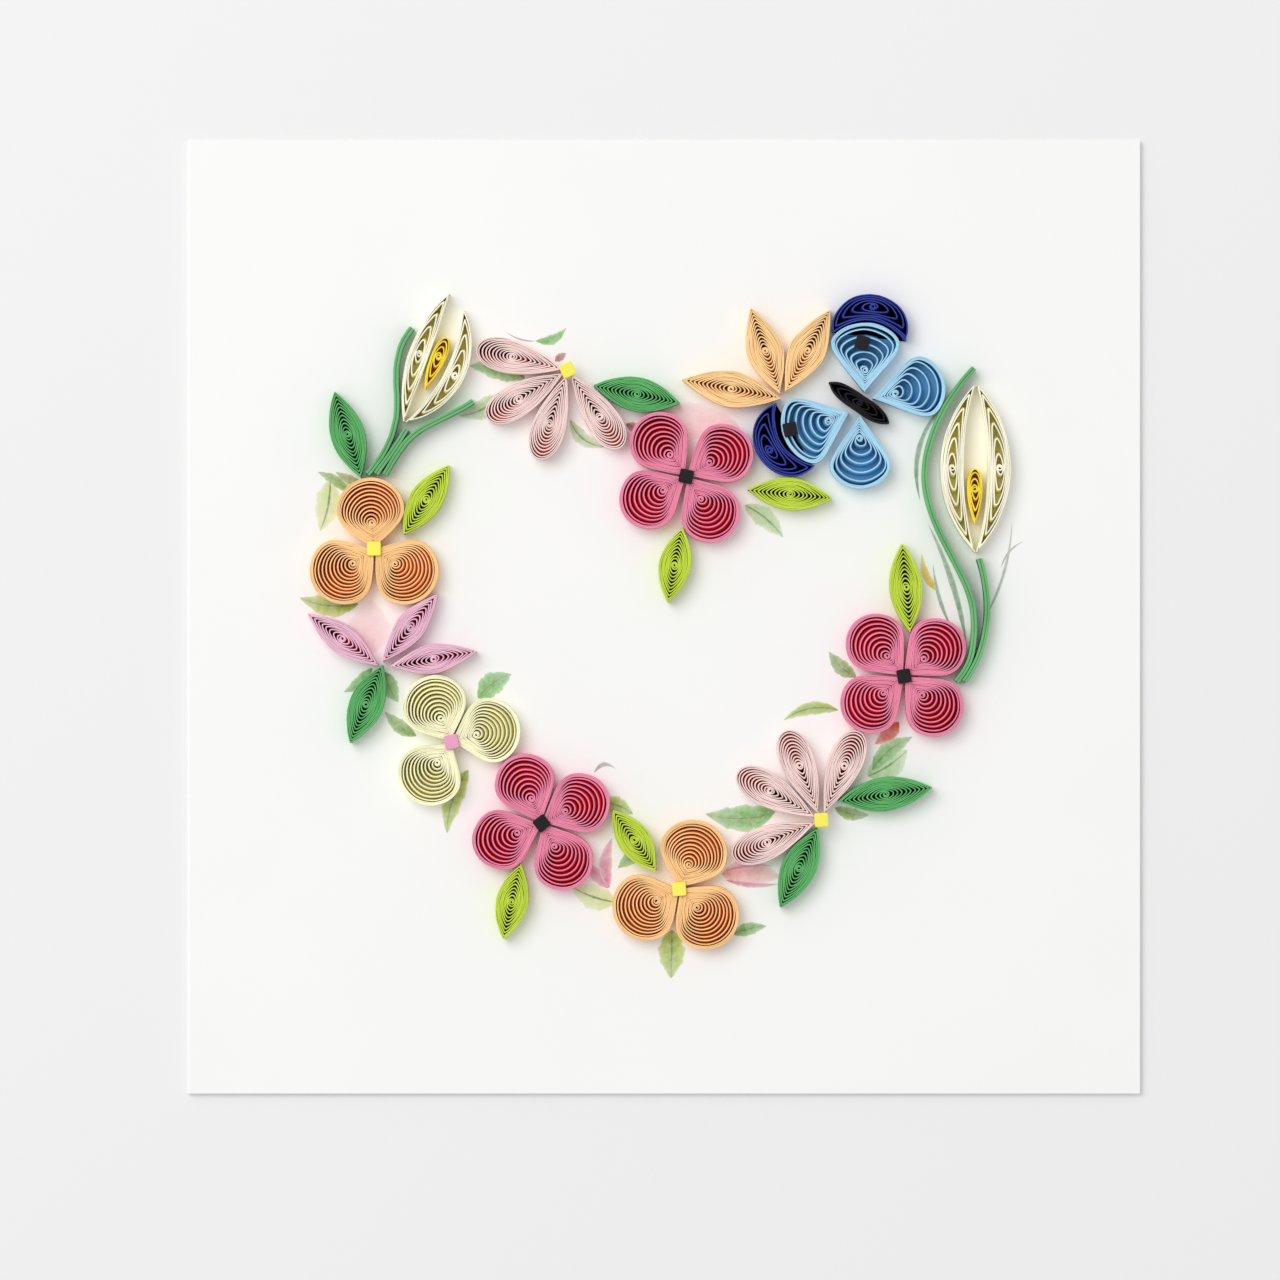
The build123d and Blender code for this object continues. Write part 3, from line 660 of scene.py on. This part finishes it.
def blade(foot_px, tip_px, width_px, bow, ink, level, dice):
    """Places, inks and covers of one printed blade.

    The middle line runs straight from foot to tip, bowed sideways by a parabola. The half width follows a
    sine of the share of the way to a power, wavers a little, and the columns spread evenly across it.
    """
    foot, tip = np.array(on_card(foot_px)), np.array(on_card(tip_px))
    along = np.linspace(0, 1, BLADE_ROWS)
    run = tip - foot
    side = np.array([-run[1], run[0]])
    middle = foot + along[:, None] * run + (4 * bow * along * (1 - along))[:, None] * side
    waver = 1 + 0.12 * (2 * wander(along, 0.3, dice) - 1)
    half = width_px * pixel / 2 * (0.03 + 0.97 * np.sin(math.pi * along ** 0.85) ** 0.9) * waver
    across = np.linspace(-1, 1, BLADE_COLUMNS)
    places = np.empty((BLADE_ROWS, BLADE_COLUMNS, 3))
    places[..., :2] = middle[:, None] + (half[:, None] * across)[..., None] * side / np.linalg.norm(side)
    places[..., 2] = card_top + INK_HEIGHT + level * INK_STEP
    heart, rim = (np.array(linear(colour)) for colour in inks[ink])
    share = (0.55 * np.abs(across) ** 1.5 + 0.25 * along[:, None])[..., None].clip(0, 1)
    cover = 1 - 0.35 * np.abs(across) ** 6 - 0.25 * along[:, None] ** 2
    return places.reshape(-1, 3), ((1 - share) * heart + share * rim).reshape(-1, 4), cover.ravel()


def gap_shade_patch(rim, slot):
    """Places, inks and covers of the patch of painted shade under a coil: the first full turn of its strip.
    """
    line = strip_route(rim)[0]
    run = np.diff(line, axis=0)
    heading = np.unwrap(np.arctan2(run[:, 1], run[:, 0]))
    turned = np.abs(heading - heading[0])
    line = line[:np.argmax(turned > 2 * math.pi)]
    if np.diff(heading[:len(line)]).sum() < 0:
        line = line[::-1]
    places = np.column_stack([line, np.full(len(line), card_top + INK_HEIGHT + len(blades) * INK_STEP)])
    # The patch of painted shade takes the paper's face colour
    return places, np.tile(linear(paper_colours_and_shades[slot][1]), (len(line), 1)), np.full(len(line), GAP_SHADE_COVER)


dice = np.random.default_rng(7)
parts = [blade(*values, level, dice) for level, values in enumerate(blades)]
own = np.arange(BLADE_ROWS * BLADE_COLUMNS).reshape(BLADE_ROWS, BLADE_COLUMNS)
quads = np.stack([own[:-1, :-1], own[:-1, 1:], own[1:, 1:], own[1:, :-1]], -1).reshape(-1, 4)
shifts = np.arange(len(parts)) * own.size
faces = (quads + shifts[:, None, None]).reshape(-1, 4).tolist()
coil_nodes = [node for node in strip_nodes if not node.startswith("stems")]
# Patches of painted shade under every coil
gap_shade_patches = [gap_shade_patch(rim, slot_of[node]) for node in coil_nodes for rim in rims[node]]
shifts = len(parts) * own.size + np.cumsum([0] + [len(part[0]) for part in gap_shade_patches])
faces += [np.arange(low, high).tolist() for low, high in zip(shifts[:-1], shifts[1:])]
places, ink, cover = (np.concatenate([part[k] for part in parts + gap_shade_patches]) for k in range(3))
# The ink attribute holds both the printed inks and the colours of the painted gap shade
print_and_gap_shade_piece = mesh_piece("card_print_and_gap_shade", places, faces, [("ink", ink), ("cover", cover)])
print(len(parts), "printed blades and", len(gap_shade_patches), "patches under the coils")

# %% [markdown]
# ## Watercolour
# The ink's colour is stored in the print itself. Noise in two sizes lets the white of the board through
# where the pigment has thinned out, as it does in a printed watercolour. The patches of painted shade under
# the coils use the same material.

# %% Watercolour material
ink_material, ink_tree, ink_shader = new_material("watercolour_and_gap_shade", 0.75)
ink_places = board_tooth(ink_tree, ink_shader)
ink_colour = add(ink_tree, "ShaderNodeAttribute", attribute_name="ink").outputs["Color"]
ink_cover = add(ink_tree, "ShaderNodeAttribute", attribute_name="cover").outputs["Fac"]
pigment = add(ink_tree, "ShaderNodeTexNoise", Scale=900, Detail=6, Roughness=0.7)
ink_tree.links.new(ink_places, pigment.inputs["Vector"])
settled = add(ink_tree, "ShaderNodeMapRange")
settled.inputs["From Min"].default_value, settled.inputs["From Max"].default_value = 0.3, 0.62
settled.inputs["To Min"].default_value, settled.inputs["To Max"].default_value = 0.66, 1
ink_tree.links.new(pigment.outputs["Fac"], settled.inputs["Value"])
strength = add(ink_tree, "ShaderNodeMath", operation="MULTIPLY")
ink_tree.links.new(settled.outputs["Result"], strength.inputs[0])
ink_tree.links.new(ink_cover, strength.inputs[1])
ink_tree.links.new(mixed(ink_tree, strength.outputs[0], linear(CARD_WHITE), ink_colour),
                   ink_shader.inputs["Base Color"])
print_and_gap_shade_piece.data.materials.append(ink_material)
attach(print_and_gap_shade_piece, "root")
print(len(print_and_gap_shade_piece.data.polygons), "faces of print")

# %% [markdown]
# ## Table
# The card lies on a plain pale table, which is a little darker than the card, so that the card's edge and
# its soft shadow show.

# %% Floor
FLOOR_GREY = (240, 240, 240)
FLOOR_HALF = 1

floor_corners = [(FLOOR_HALF * x, FLOOR_HALF * y, 0) for x, y in ((-1, -1), (1, -1), (1, 1), (-1, 1))]
floor_mesh = bpy.data.meshes.new("floor")
floor_mesh.from_pydata(floor_corners, [], [(0, 1, 2, 3)])
floor = bpy.data.objects.new("floor", floor_mesh)
bpy.context.scene.collection.objects.link(floor)
floor_material, floor_tree, floor_shader = new_material("floor", 0.9)
floor_shader.inputs["Base Color"].default_value = linear(FLOOR_GREY)
floor_mesh.materials.append(floor_material)
floor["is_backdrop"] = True
print("floor of grey", FLOOR_GREY)

# %% [markdown]
# ## Size
# The boxes of the imported model and of the dressed one are printed side by side. The dressed
# model must stay inside the imported one.

# %% Size
boxes = {"cad": cad_box, "visual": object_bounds()}
for name, box in boxes.items():
    print(name, [[round(value / MM, 2) for value in corner] for corner in box])
